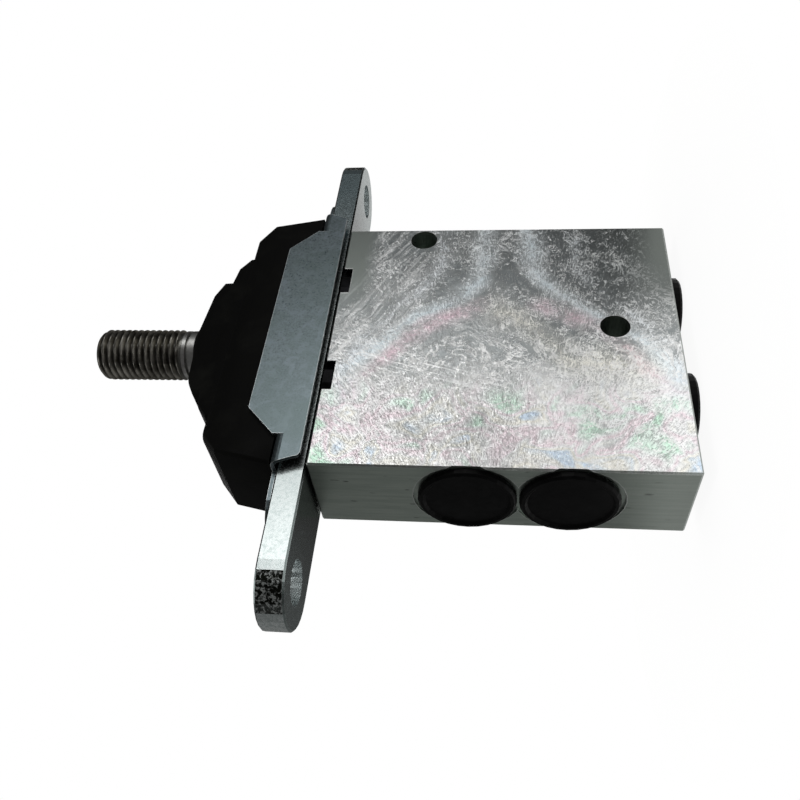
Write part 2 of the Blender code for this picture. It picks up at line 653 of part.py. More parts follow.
def make_guide_bush(side, x):
    """The plunger's guide: a collar under the flange, two seal grooves and a recess for the wiper."""
    bore = PLUNGER_RADIUS + RUN_GAP
    half_groove = RING_SECTION + RING_GAP
    inner_floor = INNER_RING_MEAN + RING_SECTION + RING_GAP
    outer_floor = OUTER_RING_MEAN - RING_SECTION - RING_GAP
    top = BLOCK_TOP
    under_collar = top - BUSH_FLANGE_THICKNESS
    bottom = top - BUSH_LENGTH
    recess = top - WIPER_HEIGHT - SEAT_GAP
    profile = [
        (bore, bottom),
        (BUSH_RADIUS, bottom),
        (BUSH_RADIUS, top - OUTER_RING_DEPTH - half_groove),
        (outer_floor, top - OUTER_RING_DEPTH - half_groove),
        (outer_floor, top - OUTER_RING_DEPTH + half_groove),
        (BUSH_RADIUS, top - OUTER_RING_DEPTH + half_groove),
        (BUSH_RADIUS, under_collar),
        (BUSH_FLANGE_RADIUS, under_collar),
        (BUSH_FLANGE_RADIUS, top),
        (WIPER_RADIUS + SEAT_GAP, top),
        (WIPER_RADIUS + SEAT_GAP, recess),
        (bore, recess),
        (bore, top - INNER_RING_DEPTH + half_groove),
        (inner_floor, top - INNER_RING_DEPTH + half_groove),
        (inner_floor, top - INNER_RING_DEPTH - half_groove),
        (bore, top - INNER_RING_DEPTH - half_groove),
    ]
    finished_object("guide_bush_" + side, turned(profile, COARSE, closed=True), "black_oxide", shift(x=x))


def make_seal_ring(name, mean_radius, z, x):
    section = arc(mean_radius, z, RING_SECTION, 0, 300, 5)
    finished_object(name, turned(section, COARSE, closed=True), "rubber", shift(x=x))


def make_seals(side, x):
    make_seal_ring("plunger_seal_" + side, INNER_RING_MEAN, BLOCK_TOP - INNER_RING_DEPTH, x)
    make_seal_ring("bush_seal_" + side, OUTER_RING_MEAN, BLOCK_TOP - OUTER_RING_DEPTH, x)
    bore = PLUNGER_RADIUS + SEAT_GAP
    low = BLOCK_TOP - WIPER_HEIGHT
    profile = [
        (bore + WIPER_LIP, low),
        (WIPER_RADIUS, low),
        (WIPER_RADIUS, BLOCK_TOP),
        (bore + WIPER_LIP, BLOCK_TOP),
        (bore, BLOCK_TOP + WIPER_LIP),
        (bore, BLOCK_TOP - WIPER_LIP),
    ]
    finished_object("wiper_" + side, turned(profile, COARSE, closed=True), "rubber", shift(x=x))


def make_plunger(side, x):
    bottom = SEAT_TOP + SEAT_GAP
    dome = []
    for angle in (53, 40, 27, 14):
        across = PLUNGER_DOME * math.sin(math.radians(angle))
        dome.append((across, PLUNGER_TOP - PLUNGER_DOME * (1 - math.cos(math.radians(angle)))))
    shoulder = dome[0][1] - (PLUNGER_RADIUS - dome[0][0])
    profile = [(0, bottom), (PLUNGER_RADIUS, bottom), (PLUNGER_RADIUS, shoulder)]
    profile += dome + [(0, PLUNGER_TOP)]
    finished_object("plunger_" + side, turned(profile, COARSE), "bright", shift(x=x))


def make_spring_seat(side, x):
    under = SEAT_TOP - SEAT_THICKNESS
    profile = [
        (0, under - SEAT_BOSS_LENGTH),
        (SEAT_BOSS_RADIUS, under - SEAT_BOSS_LENGTH),
        (SEAT_BOSS_RADIUS, under),
        (SEAT_RADIUS, under),
        (SEAT_RADIUS, SEAT_TOP),
        (0, SEAT_TOP),
    ]
    finished_object("spring_seat_" + side, turned(profile, COARSE), "steel", shift(x=x))


def make_spring(name, wire, coil_radius, turns, low, high, x):
    """A helix of round wire between two faces, its end turns laid nearly flat."""
    travel = high - low - 2 * wire
    steps = int(turns * COIL_STEPS)
    end_pitch = 2.2 * wire
    middle_pitch = (travel - 2 * end_pitch) / (turns - 2)
    shape = bmesh.new()
    rows = []
    for step in range(steps + 1):
        turn = turns * step / steps
        rise = end_pitch * min(turn, 1) + middle_pitch * max(0, min(turn - 1, turns - 2))
        rise += end_pitch * max(0, turn - (turns - 1))
        angle = 2 * math.pi * turn
        row = []
        for corner in range(WIRE_SIDES):
            around = 2 * math.pi * corner / WIRE_SIDES
            radius = coil_radius + wire * math.cos(around)
            height = low + wire + rise + wire * math.sin(around)
            row.append(shape.verts.new((radius * math.cos(angle), radius * math.sin(angle), height)))
        rows.append(row)
    for one, two in zip(rows, rows[1:]):
        for corner in range(WIRE_SIDES):
            after = (corner + 1) % WIRE_SIDES
            shape.faces.new([one[corner], one[after], two[after], two[corner]])
    shape.faces.new(rows[0])
    shape.faces.new(rows[-1])
    finished_object(name, shape, "bright", shift(x=x))


def make_springs(side, x):
    high = SEAT_TOP - SEAT_THICKNESS - SEAT_GAP
    low = BLOCK_TOP - CHAMBER_BOTTOM_DEPTH + SEAT_GAP
    coil = (RETURN_WIRE, RETURN_COIL_RADIUS, RETURN_TURNS)
    make_spring("return_spring_" + side, *coil, low, high, x)
    washer = BLOCK_TOP - SPOOL_WASHER_DEPTH + SEAT_GAP
    coil = (METERING_WIRE, METERING_COIL_RADIUS, METERING_TURNS)
    make_spring("metering_spring_" + side, *coil, washer, high, x)


def make_spool(side, x):
    """The metering spool: a stem with a spring collar and a grooved land, drilled from below."""
    stem_top = BLOCK_TOP - SPOOL_STEM_TOP_DEPTH
    collar_top = BLOCK_TOP - SPOOL_WASHER_DEPTH
    collar_bottom = collar_top - SPOOL_WASHER_THICKNESS
    land_top = BLOCK_TOP - SPOOL_LAND_DEPTH
    groove = BLOCK_TOP - PORT_DEPTHS[1]
    bottom = BLOCK_BOTTOM + END_PORT_LENGTH + SPOOL_END_CLEARANCE
    drilling_top = groove - SPOOL_GROOVE_WIDTH / 2 - SPOOL_DRILLING_RADIUS
    profile = [
        (0, drilling_top),
        (SPOOL_DRILLING_RADIUS, drilling_top),
        (SPOOL_DRILLING_RADIUS, bottom),
        (SPOOL_RADIUS, bottom),
        (SPOOL_RADIUS, groove - SPOOL_GROOVE_WIDTH / 2),
        (SPOOL_GROOVE_RADIUS, groove - SPOOL_GROOVE_WIDTH / 2),
        (SPOOL_GROOVE_RADIUS, groove + SPOOL_GROOVE_WIDTH / 2),
        (SPOOL_RADIUS, groove + SPOOL_GROOVE_WIDTH / 2),
        (SPOOL_RADIUS, land_top),
        (SPOOL_STEM_RADIUS, land_top),
        (SPOOL_STEM_RADIUS, collar_bottom),
        (SPOOL_WASHER_RADIUS, collar_bottom),
        (SPOOL_WASHER_RADIUS, collar_top),
        (SPOOL_STEM_RADIUS, collar_top),
        (SPOOL_STEM_RADIUS, stem_top),
        (0, stem_top),
    ]
    finished_object("spool_" + side, turned(profile, COARSE), "steel", shift(x=x))


def make_rocker():
    """Cross-bar that turns on the pin: hub, two pressing arms and a threaded boss for the stud."""
    root = ARM_FACE_Z + ARM_ROOT_HEIGHT
    tip = ARM_FACE_Z + ARM_TIP_HEIGHT
    half_arms = [(ARM_REACH, ARM_FACE_Z), (ARM_REACH, tip), (ARM_HALF_WIDTH, root)]
    outline = half_arms + [(-x, z) for x, z in reversed(half_arms)]
    arms = standing_prism(outline, -ARM_HALF_WIDTH, ARM_HALF_WIDTH)
    rocker = finished_object("rocker", arms, "steel", shift(z=PIVOT_Z))
    rocker.data.transform(shift(z=-PIVOT_Z))
    join(rocker, rod(HUB_RADIUS, -HUB_HALF_WIDTH, HUB_HALF_WIDTH), shift(z=PIVOT_Z) @ ALONG_Y)
    web_x, web_y = 0.8 * HUB_RADIUS, 0.9 * ARM_HALF_WIDTH
    join(rocker, box((-web_x, web_x), (-web_y, web_y), (PIVOT_Z, ARM_FACE_Z + ARM_TIP_HEIGHT)))
    boss_top = BLOCK_TOP + BOSS_TOP_H
    join(rocker, rod(BOSS_RADIUS, ARM_FACE_Z + ARM_TIP_HEIGHT / 2, boss_top, FINE))
    pin_bore = rod(PIN_RADIUS + RUN_GAP, -HUB_HALF_WIDTH - BREAKTHROUGH, HUB_HALF_WIDTH + BREAKTHROUGH)
    cut(rocker, pin_bore, shift(z=PIVOT_Z) @ ALONG_Y)
    spigot_hole_bottom = boss_top - SPIGOT_LENGTH - SEAT_GAP
    cut(rocker, rod(SPIGOT_RADIUS + SEAT_GAP, spigot_hole_bottom, boss_top + BREAKTHROUGH))


def make_lever_stud():
    """The stud that takes the lever, its thread left smooth at full diameter."""
    seat = BLOCK_TOP + BOSS_TOP_H + SEAT_GAP
    bottom = seat - SPIGOT_LENGTH
    top = BLOCK_TOP + STUD_TOP_H
    neck_top = BLOCK_TOP + THREAD_START_H - STUD_CHAMFER
    profile = [
        (0, bottom),
        (SPIGOT_RADIUS, bottom),
        (SPIGOT_RADIUS, seat),
        (UNDERCUT_RADIUS, seat),
        (UNDERCUT_RADIUS, BLOCK_TOP + BAND_BOTTOM_H),
        (NECK_RADIUS, BLOCK_TOP + BAND_BOTTOM_H),
        (NECK_RADIUS, BLOCK_TOP + BAND_TOP_H),
        (UNDERCUT_RADIUS, BLOCK_TOP + BAND_TOP_H),
        (UNDERCUT_RADIUS, BLOCK_TOP + NECK_BOTTOM_H),
        (NECK_RADIUS, BLOCK_TOP + NECK_BOTTOM_H),
        (NECK_RADIUS, neck_top),
        (STUD_RADIUS, BLOCK_TOP + THREAD_START_H),
        (STUD_RADIUS, top - STUD_CHAMFER),
        (STUD_RADIUS - STUD_CHAMFER, top),
        (0, top),
    ]
    stud = finished_object("lever_stud", turned(profile, FINE), "steel", shift(z=PIVOT_Z))
    stud.data.transform(shift(z=-PIVOT_Z))


def make_pivot():
    """The pin, its two lugs with tenons let into the flange, and its two circlips."""
    half, clip = PIN_HALF_LENGTH, CIRCLIP_THICKNESS
    lug_outside = HUB_HALF_WIDTH + SEAT_GAP + LUG_THICKNESS
    groove_low = lug_outside + SEAT_GAP
    groove_high = groove_low + clip + 2 * RUN_GAP
    core = PIN_RADIUS - CLIP_GROOVE
    on_axis = shift(z=PIVOT_Z) @ ALONG_Y
    upper = [
        (PIN_RADIUS, groove_low),
        (core, groove_low),
        (core, groove_high),
        (PIN_RADIUS, groove_high),
        (PIN_RADIUS, half),
    ]
    lower = [(radius, -y) for radius, y in reversed(upper)]
    pin = turned([(0, -half)] + lower + upper + [(0, half)], COARSE)
    finished_object("pivot_pin", pin, "bright", on_axis)
    for name, y, centre in (("front", -1, lug_centres()[0]), ("rear", 1, lug_centres()[1])):
        foot = FLANGE_TOP + SEAT_GAP
        outline = [(-LUG_FOOT_HALF, foot), (LUG_FOOT_HALF, foot), (HUB_RADIUS, PIVOT_Z)]
        outline += arc(0, PIVOT_Z, HUB_RADIUS, LUG_SHOULDER_ANGLE, 180 - LUG_SHOULDER_ANGLE, 10)
        outline.append((-HUB_RADIUS, PIVOT_Z))
        half_lug = LUG_THICKNESS / 2
        plate = standing_prism(outline, centre - half_lug, centre + half_lug)
        lug = finished_object("pivot_lug_" + name, plate, "steel")
        tenon_y = (centre - TENON_THICKNESS / 2, centre + TENON_THICKNESS / 2)
        tenon_z = (FLANGE_TOP - TENON_LENGTH, foot + LUG_THICKNESS / 2)
        join(lug, box((-TENON_HALF, TENON_HALF), tenon_y, tenon_z))
        bore = rod(PIN_RADIUS + RUN_GAP, centre - LUG_THICKNESS, centre + LUG_THICKNESS)
        cut(lug, bore, on_axis)
        middle = y * (groove_low + groove_high) / 2
        low, high = middle - clip / 2, middle + clip / 2
        bore = core + RUN_GAP
        section = [(bore, low), (CIRCLIP_RADIUS, low), (CIRCLIP_RADIUS, high), (bore, high)]
        ring = turned(section, COARSE, closed=True)
        circlip = finished_object("circlip_" + name, ring, "steel", on_axis)
        gap = CIRCLIP_OPENING / 2
        below = PIVOT_Z - CIRCLIP_RADIUS - clip
        cut(circlip, box((-gap, gap), (middle - clip, middle + clip), (below, PIVOT_Z)))


def main():
    clear_scene()
    make_valve_body()
    make_port_caps()
    make_mounting_flange()
    make_flange_screws()
    make_bellows_retainer()
    make_retainer_screws()
    make_bellows()
    for side, x in SIDES:
        make_guide_bush(side, x)
        make_seals(side, x)
        make_plunger(side, x)
        make_spring_seat(side, x)
        make_springs(side, x)
        make_spool(side, x)
    make_pivot()
    make_rocker()
    make_lever_stud()


main()
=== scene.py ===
"""Looks, lights and camera for the pilot valve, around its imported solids. Metres."""

import math

import bmesh
import bpy
from mathutils import Matrix, Vector


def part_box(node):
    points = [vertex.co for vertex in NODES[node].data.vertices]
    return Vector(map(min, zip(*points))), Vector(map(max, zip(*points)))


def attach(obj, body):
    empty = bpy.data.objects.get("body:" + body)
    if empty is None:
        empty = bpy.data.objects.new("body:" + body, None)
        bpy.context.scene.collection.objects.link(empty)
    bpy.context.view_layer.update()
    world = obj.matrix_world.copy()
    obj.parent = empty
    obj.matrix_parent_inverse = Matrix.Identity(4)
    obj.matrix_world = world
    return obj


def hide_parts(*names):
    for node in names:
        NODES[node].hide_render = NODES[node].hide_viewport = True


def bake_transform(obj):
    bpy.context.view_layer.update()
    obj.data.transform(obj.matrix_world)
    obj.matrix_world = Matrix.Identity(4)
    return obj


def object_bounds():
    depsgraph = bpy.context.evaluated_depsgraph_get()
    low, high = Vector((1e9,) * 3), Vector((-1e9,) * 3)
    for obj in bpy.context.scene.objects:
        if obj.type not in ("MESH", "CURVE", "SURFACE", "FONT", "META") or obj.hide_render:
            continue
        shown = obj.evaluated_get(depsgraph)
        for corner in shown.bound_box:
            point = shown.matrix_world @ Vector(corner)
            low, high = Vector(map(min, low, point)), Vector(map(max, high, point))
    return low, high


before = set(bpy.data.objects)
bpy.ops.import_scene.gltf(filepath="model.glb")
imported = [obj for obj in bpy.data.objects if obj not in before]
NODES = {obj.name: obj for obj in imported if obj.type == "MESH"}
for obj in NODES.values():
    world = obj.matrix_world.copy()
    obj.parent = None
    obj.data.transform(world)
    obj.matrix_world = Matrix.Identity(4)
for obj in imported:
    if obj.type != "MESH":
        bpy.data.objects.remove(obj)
cad_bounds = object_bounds()

MM = 0.001

# Places read from the solids
BLOCK_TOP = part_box("valve_body")[1].z
FLANGE_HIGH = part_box("mounting_flange")[1]
STUD_LOW, STUD_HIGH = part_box("lever_stud")
STUD_RADIUS = STUD_HIGH.x
STUD_TOP = STUD_HIGH.z
EAR_CENTRE = FLANGE_HIGH.x - FLANGE_HIGH.y

# Camera at the photograph's viewing angle: it looks up along the block, with the lever to the left
CAMERA_PLACE = Vector((-125.213, -140.148, 39.261)) * MM
CAMERA_RIGHT = Vector((0.090662, 0.088814, -0.991914))
CAMERA_UP = Vector((0.778516, -0.627446, 0.014977))
CAMERA_LENS = 36.844
CAMERA_SENSOR = 36.0
CAMERA_NEAR = 0.01

# Directions from the object: the soft box beside the camera, the wall behind the object, a lighter side
KEY_DIRECTION = Vector((0.37, -0.91, 0.10))
WALL_DIRECTION = Vector((0.80, 0.60, -0.02))
SIDE_DIRECTION = Vector((-0.5, 0.86, -0.15))

# Lamps: name, direction, distance, size, power
LAMPS = (
    ("key", KEY_DIRECTION, 0.55, 0.42, 0.78),
    ("overhead", Vector((-0.2, 0.1, 1.0)), 0.9, 0.7, 1.5),
    ("rear_fill", Vector((0.5, 0.9, 0.4)), 0.9, 0.5, 0.7),
)

# What metal reflects: a direction, the cosines at which a glow starts and is full, and its level
WALL_GLOW = (WALL_DIRECTION, 0.935, 0.99, 1.0)
KEY_GLOW = (KEY_DIRECTION, 0.5, 1.0, 0.07)
SIDE_GLOW = (SIDE_DIRECTION, 0.3, 1.0, 0.14)
ROOM_LEVEL = 0.05

# What dull surfaces receive from all round
SOFT_LEVEL = 0.62

# Floor
FLOOR_REACH = 82 * MM
FLOOR_BACK = 15 * MM
FLOOR_DROP = 0.05 * MM
FLOOR_SIDES = 48
FLOOR_GREY = (0.80, 0.80, 0.79)
FLOOR_WHITE = 1.05
FLOOR_WHITE_SHARE = 0.88

# Cutter traces on the block's large faces, mirrored about a line across the block's middle. A spread
# gives two places along X and the trace's distance from the middle at each, and the shelf's line gives
# two places along Z and the shelf's place along X at each.
TRACE_MIDDLE = 38.5 * MM
TRACE_WANDER = 9 * MM
INNER_SPREAD = (-15 * MM, 20 * MM, 34 * MM, 5.4 * MM)
INNER_REACH = 4.2 * MM
OUTER_SPREAD = (-12 * MM, 22 * MM, 35 * MM, 15 * MM)
OUTER_REACH = 3.5 * MM
ARCH_TOP = 7 * MM
ARCH_CURVE = 23.7
ARCH_REACH = 4.2 * MM
ARCH_OPENING = (3 * MM, 9 * MM)
ARCH_FADE = (33 * MM, 24 * MM)
SHELF_LINE = (20 * MM, 42 * MM, -11 * MM, 4 * MM)
SHELF_REACH = 7 * MM
SHELF_LEFT_END = (46 * MM, 40 * MM)
SHELF_RIGHT_END = (4 * MM, 16 * MM)

# Fan of straight streaks by the flange, and the long sweep lines, across the same faces
FAN_SLOPE = 0.6
FAN_START = (18 * MM, 26 * MM)
FAN_LEFT_OF = (54 * MM, 62 * MM)
FAN_ABOVE = (-18 * MM, -10 * MM)
SWEEP_START = 61.6 * MM
SWEEP_SLOPE = 0.33
SWEEP_DROP = 10.5 * MM
SWEEP_REACH = 6 * MM
SWEEP_LEFT_OF = (34 * MM, 42 * MM)

# Areas of those faces: where each starts and where it is full, along Z or X
LOWER_END = (-9 * MM, -19 * MM)
LOWER_HALF = (6 * MM, -8 * MM)
FILM_PATCHES = (-14 * MM, -24 * MM)
SMOOTH_LEFT = ((69 * MM, 73 * MM), (2 * MM, 16 * MM))
SMOOTH_RIGHT = ((13 * MM, 5 * MM), (6 * MM, 24 * MM))
# Painted shade towards the floor end: its span along Z, and the span along X over which it spreads onto the
# large faces
PAINTED_SHADE_END = (32 * MM, 4 * MM)
PAINTED_SHADE_ABOVE = (-4 * MM, 12 * MM)

# The painted highlight at the middle of their lower end, along Z
LOWER_HIGHLIGHT_MIDDLE = 31 * MM
LOWER_HIGHLIGHT_REACH = 9 * MM

# Frost hairs fan out from this place, in rings squashed along Z
HAIR_CENTRE = Vector((-65, 0, 38)) * MM
HAIR_SQUASH = 0.62

# Flange: where painted shade darkens its faces towards the block and its rolled faces on the upper ear, and
# the crumbly rounds at its ends
FLANGE_SHADE = (EAR_CENTRE + 2 * MM, EAR_CENTRE - 18 * MM)
FLANGE_TOP_SHADE = (20 * MM, 50 * MM)
EAR_RIM = 2 * MM
SAWN_FADE = 0.4 * MM

# Stud, as heights above the block, and its thread
SPIGOT_RADIUS = 3.7 * MM
SPIGOT_LENGTH = 6.0 * MM
UNDERCUT_RADIUS = 5.0 * MM
NECK_RADIUS = 5.75 * MM
BAND_BOTTOM_H = 33.3 * MM
BAND_TOP_H = 34.9 * MM
NECK_BOTTOM_H = 35.5 * MM
THREAD_START_H = 37.2 * MM
THREAD_PITCH = 1.5 * MM
THREAD_DEPTH = 0.85 * MM
THREAD_BOTTOM = BLOCK_TOP + THREAD_START_H
THREAD_CHAMFER = 1.0 * MM
THREAD_SIDES = 72
THREAD_ROWS_PER_PITCH = 10
FLANK_SLOPE = 1.3
ROOT_SHARE = 0.12
CORNER_STEP = 0.05 * MM
RUNOUT_START = 0.8 * MM
RUNOUT_END = 0.4 * MM
ROOT_SHADE_DEPTH = 0.25 * MM

# Bellows: the rounding of its tiers, and the welding and flattening of its mesh before that
TIER_ROUNDING = 0.45 * MM
TIER_EDGE_ANGLE = math.radians(28)
TIER_SMOOTH_ANGLE = math.radians(50)
FLAT_ANGLE = math.radians(1)
WELD_DISTANCE = 0.001 * MM

MESH_SMOOTH_ANGLE = math.radians(38)
WHITE = (1.0, 1.0, 1.0)


class Nodes:
    """Adds nodes to one tree by short calls, each giving back an output socket."""

    def __init__(self, tree):
        self.tree = tree

    def add(self, kind, **settings):
        node = self.tree.nodes.new(kind)
        for key, value in settings.items():
            setattr(node, key, value)
        return node

    def feed(self, node, socket, value):
        if isinstance(value, bpy.types.NodeSocket):
            self.tree.links.new(value, node.inputs[socket])
        else:
            node.inputs[socket].default_value = value

    def math(self, operation, one, two=0.0):
        node = self.add("ShaderNodeMath", operation=operation)
        self.feed(node, 0, one)
        self.feed(node, 1, two)
        return node.outputs[0]

    def folded(self, operation, values):
        """One operation taken through several values in turn."""
        result = values[0]
        for value in values[1:]:
            result = self.math(operation, result, value)
        return result

    def product(self, *values):
        return self.folded("MULTIPLY", values)

    def total(self, *values):
        return self.folded("ADD", values)

    def most(self, *values):
        return self.folded("MAXIMUM", values)

    def less(self, one, two):
        return self.math("SUBTRACT", one, two)

    def size(self, value):
        return self.math("ABSOLUTE", value)

    def between(self, value, low, high, to_low=0.0, to_high=1.0, kind="LINEAR"):
        """A value's place from low to high, as a place from to_low to to_high, held at both ends."""
        node = self.add("ShaderNodeMapRange", interpolation_type=kind)
        self.feed(node, "Value", value)
        self.feed(node, "From Min", low)
        self.feed(node, "From Max", high)
        self.feed(node, "To Min", to_low)
        self.feed(node, "To Max", to_high)
        return node.outputs["Result"]

    def dot(self, one, two):
        node = self.add("ShaderNodeVectorMath", operation="DOT_PRODUCT")
        self.feed(node, 0, one)
        self.feed(node, 1, two)
        return node.outputs["Value"]

    def mixed_shader(self, share, one, two):
        node = self.add("ShaderNodeMixShader")
        self.feed(node, 0, share)
        self.feed(node, 1, one)
        self.feed(node, 2, two)
        return node.outputs[0]


class Recipe(Nodes):
    """One material, coloured by where a point lies on its solid."""

    def __init__(self, name):
        self.material = bpy.data.materials.new(name)
        self.material.use_nodes = True
        super().__init__(self.material.node_tree)
        self.shader = self.tree.nodes["Principled BSDF"]
        self.place = self.add("ShaderNodeTexCoord").outputs["Object"]

    def stretched(self, scale, turn=(0, 0, 0)):
        node = self.add("ShaderNodeMapping")
        self.feed(node, "Vector", self.place)
        self.feed(node, "Scale", scale)
        self.feed(node, "Rotation", [math.radians(angle) for angle in turn])
        return node.outputs["Vector"]

    def noise(self, scale, detail=4.0, roughness=0.55, distortion=0.0, vector=None):
        node = self.add("ShaderNodeTexNoise")
        self.feed(node, "Vector", vector or self.place)
        self.feed(node, "Scale", scale)
        self.feed(node, "Detail", detail)
        self.feed(node, "Roughness", roughness)
        self.feed(node, "Distortion", distortion)
        return node.outputs["Fac"]

    def ramp(self, value, *stops):
        """Colours at positions from 0 to 1."""
        node = self.add("ShaderNodeValToRGB")
        self.feed(node, "Fac", value)
        elements = node.color_ramp.elements
        while len(elements) < len(stops):
            elements.new(0.5)
        for element, (position, colour) in zip(elements, stops):
            element.position = position
            element.color = (*colour, 1.0)
        return node.outputs["Color"]

    def mix(self, share, one, two, blend="MIX"):
        node = self.add("ShaderNodeMix", data_type="RGBA", blend_type=blend)
        self.feed(node, 0, share)
        for socket, value in ((6, one), (7, two)):
            colour = (*value, 1.0) if isinstance(value, tuple) else value
            self.feed(node, socket, colour)
        return node.outputs[2]

    def axis(self, letter, vector=None):
        node = self.add("ShaderNodeSeparateXYZ")
        self.feed(node, 0, vector or self.place)
        return node.outputs[letter]

    def joined(self, x, y=0.0, z=0.0):
        """Three values as one vector."""
        node = self.add("ShaderNodeCombineXYZ")
        for socket, value in enumerate((x, y, z)):
            self.feed(node, socket, value)
        return node.outputs[0]

    def ridge(self, value, centre, reach, full=0.0):
        """1 where a value is within the full distance of a centre, falling to 0 at the reach either side."""
        return self.between(self.size(self.less(value, centre)), reach, full)

    def length(self, one, two):
        """The length of two sides at right angles, taken together."""
        return self.math("SQRT", self.total(self.product(one, one), self.product(two, two)))

    def normal(self, letter):
        """How far the surface faces along an axis, 0 to 1, either way."""
        facing = self.add("ShaderNodeNewGeometry").outputs["True Normal"]
        return self.size(self.axis(letter, facing))

    def edges(self, radius, low, high):
        """1 along sharp edges, from the difference between the bevelled and the plain normal."""
        bevel = self.add("ShaderNodeBevel", samples=6)
        self.feed(bevel, "Radius", radius)
        plain = self.add("ShaderNodeNewGeometry").outputs["Normal"]
        return self.between(self.dot(bevel.outputs["Normal"], plain), high, low)

    def finish(self, colour, roughness, metallic, height, strength, distance):
        self.feed(self.shader, "Base Color", colour)
        self.feed(self.shader, "Roughness", roughness)
        self.feed(self.shader, "Metallic", metallic)
        bump = self.add("ShaderNodeBump")
        self.feed(bump, "Strength", strength)
        self.feed(bump, "Distance", distance)
        self.feed(bump, "Height", height)
        self.feed(self.shader, "Normal", bump.outputs["Normal"])
        return self.material


class FaceTraces:
    """Where the cutter traces and the dried film lie on the block's large faces. Every trace and area is a
    value from 0 to 1."""

    def __init__(self, r):
        self.r = r
        self.x, self.z = r.axis("X"), r.axis("Z")
        wander = r.product(r.less(r.noise(70.0, 3.0), 0.5), TRACE_WANDER)
        self.up = r.total(self.x, wander)
        self.signed = r.less(self.z, TRACE_MIDDLE)
        self.away = r.size(r.total(self.signed, r.product(wander, 0.5)))
        self.patchy = r.between(r.noise(140.0, 4.0, 0.6, 0.8), 0.38, 0.60, 0.2, 1.0)
        self.lower_end = r.between(self.up, *LOWER_END)
        self.smooth = r.most(self.corner(SMOOTH_LEFT), self.corner(SMOOTH_RIGHT))
        less_patchy = r.between(self.patchy, 0.2, 1.0, 0.5, 1.0)
        self.inner = r.product(self.arc(INNER_SPREAD, INNER_REACH), less_patchy)
        self.outer = r.product(self.arc(OUTER_SPREAD, OUTER_REACH), self.patchy)
        self.arch = self.make_arch()
        self.shelf = self.make_shelf()
        self.streaks = self.make_streaks()
        self.lines = self.make_lines()

    def corner(self, area):
        """The area past two starts, one along Z and one along X."""
        along_z, along_x = area
        return self.r.product(self.r.between(self.z, *along_z), self.r.between(self.x, *along_x))

    def arc(self, spread, reach):
        """A pair of curves, one either side of the middle, that come together upwards."""
        half = self.r.between(self.up, *spread, "SMOOTHSTEP")
        return self.r.ridge(self.r.less(self.away, half), 0.0, reach)

    def make_arch(self):
        """A rose arch, open at its top and fainter down its legs."""
        r = self.r
        drop = r.product(self.signed, self.signed, ARCH_CURVE)
        line = r.ridge(r.less(r.total(self.up, drop), ARCH_TOP), 0.0, ARCH_REACH)
        legs = r.between(self.away, *ARCH_FADE, 0.45, 1.0)
        return r.product(line, r.between(self.away, *ARCH_OPENING), self.patchy, legs)

    def make_shelf(self):
        """A cream shelf that slopes across the middle."""
        r = self.r
        line = r.ridge(r.less(self.up, r.between(self.z, *SHELF_LINE, "SMOOTHSTEP")), 0.0, SHELF_REACH)
        ends = r.product(r.between(self.z, *SHELF_LEFT_END), r.between(self.z, *SHELF_RIGHT_END))
        return r.product(line, r.between(self.patchy, 0.0, 1.0, 0.5, 1.0), ends)

    def make_streaks(self):
        """A fan of straight streaks beside the flange."""
        r = self.r
        slant = r.total(self.away, r.product(self.x, FAN_SLOPE))
        streaks = r.noise(1.0, 3.0, 0.6, 0.3, r.joined(r.product(slant, 950.0), r.product(self.x, 90.0)))
        fan = r.product(r.between(self.z, *FAN_LEFT_OF), r.between(slant, *FAN_START),
                        r.between(self.x, *FAN_ABOVE))
        return r.product(r.between(streaks, 0.48, 0.64), fan, self.patchy)

    def make_lines(self):
        """Long thin sweep lines across the middle."""
        r = self.r
        sweep = r.less(self.x, r.product(r.less(self.z, SWEEP_START), SWEEP_SLOPE))
        lines = r.noise(1.0, 2.0, 0.5, 0.3, r.joined(r.product(sweep, 1500.0), r.product(self.z, 50.0)))
        near = r.ridge(r.total(sweep, SWEEP_DROP), 0.0, SWEEP_REACH)
        return r.product(r.between(lines, 0.54, 0.62), near, r.between(self.z, *SWEEP_LEFT_OF))


def film_tint(r, traces):
    """Faint colours of a dried film: blue, rose and cream bands, and small patches at the lower edge."""
    tint = r.mix(traces.inner, WHITE, (0.87, 0.955, 1.0))
    tint = r.mix(r.product(traces.outer, 0.7), tint, (0.90, 0.95, 1.0))
    tint = r.mix(traces.arch, tint, (1.0, 0.76, 0.85))
    tint = r.mix(r.product(traces.shelf, 0.8), tint, (1.0, 0.965, 0.86))
    patches = r.ramp(r.noise(120.0, 2.0, 0.4, 0.8),
                     (0.30, (0.70, 1.0, 0.80)), (0.41, WHITE), (0.47, (1.0, 0.83, 0.89)),
                     (0.53, WHITE), (0.59, (1.0, 0.96, 0.86)), (0.68, (0.70, 0.84, 1.0)))
    return r.mix(r.between(traces.x, *FILM_PATCHES, 0.0, 0.95), tint, patches)


def frost_density(r, traces):
    """How thick the frost lies on the large faces, from 0 to 1."""
    patches = r.between(r.noise(85.0, 3.0, 0.55, 0.8), 0.38, 0.62, -0.13, 0.13)
    density = r.total(0.30, patches,
                      r.product(traces.inner, 0.80), r.product(traces.outer, 0.45),
                      r.product(traces.arch, 0.50), r.product(traces.shelf, 0.55),
                      r.product(traces.lower_end, 0.58), r.product(traces.streaks, 0.35))
    return r.product(r.between(density, 0.0, 1.0), r.less(1.0, traces.smooth))


def strand_lines(r, level):
    """Thin wandering lines. Two levels close together give lines that run side by side."""
    return r.ridge(r.noise(300.0, 3.0, 0.6, 1.6), level, 0.034, 0.010)


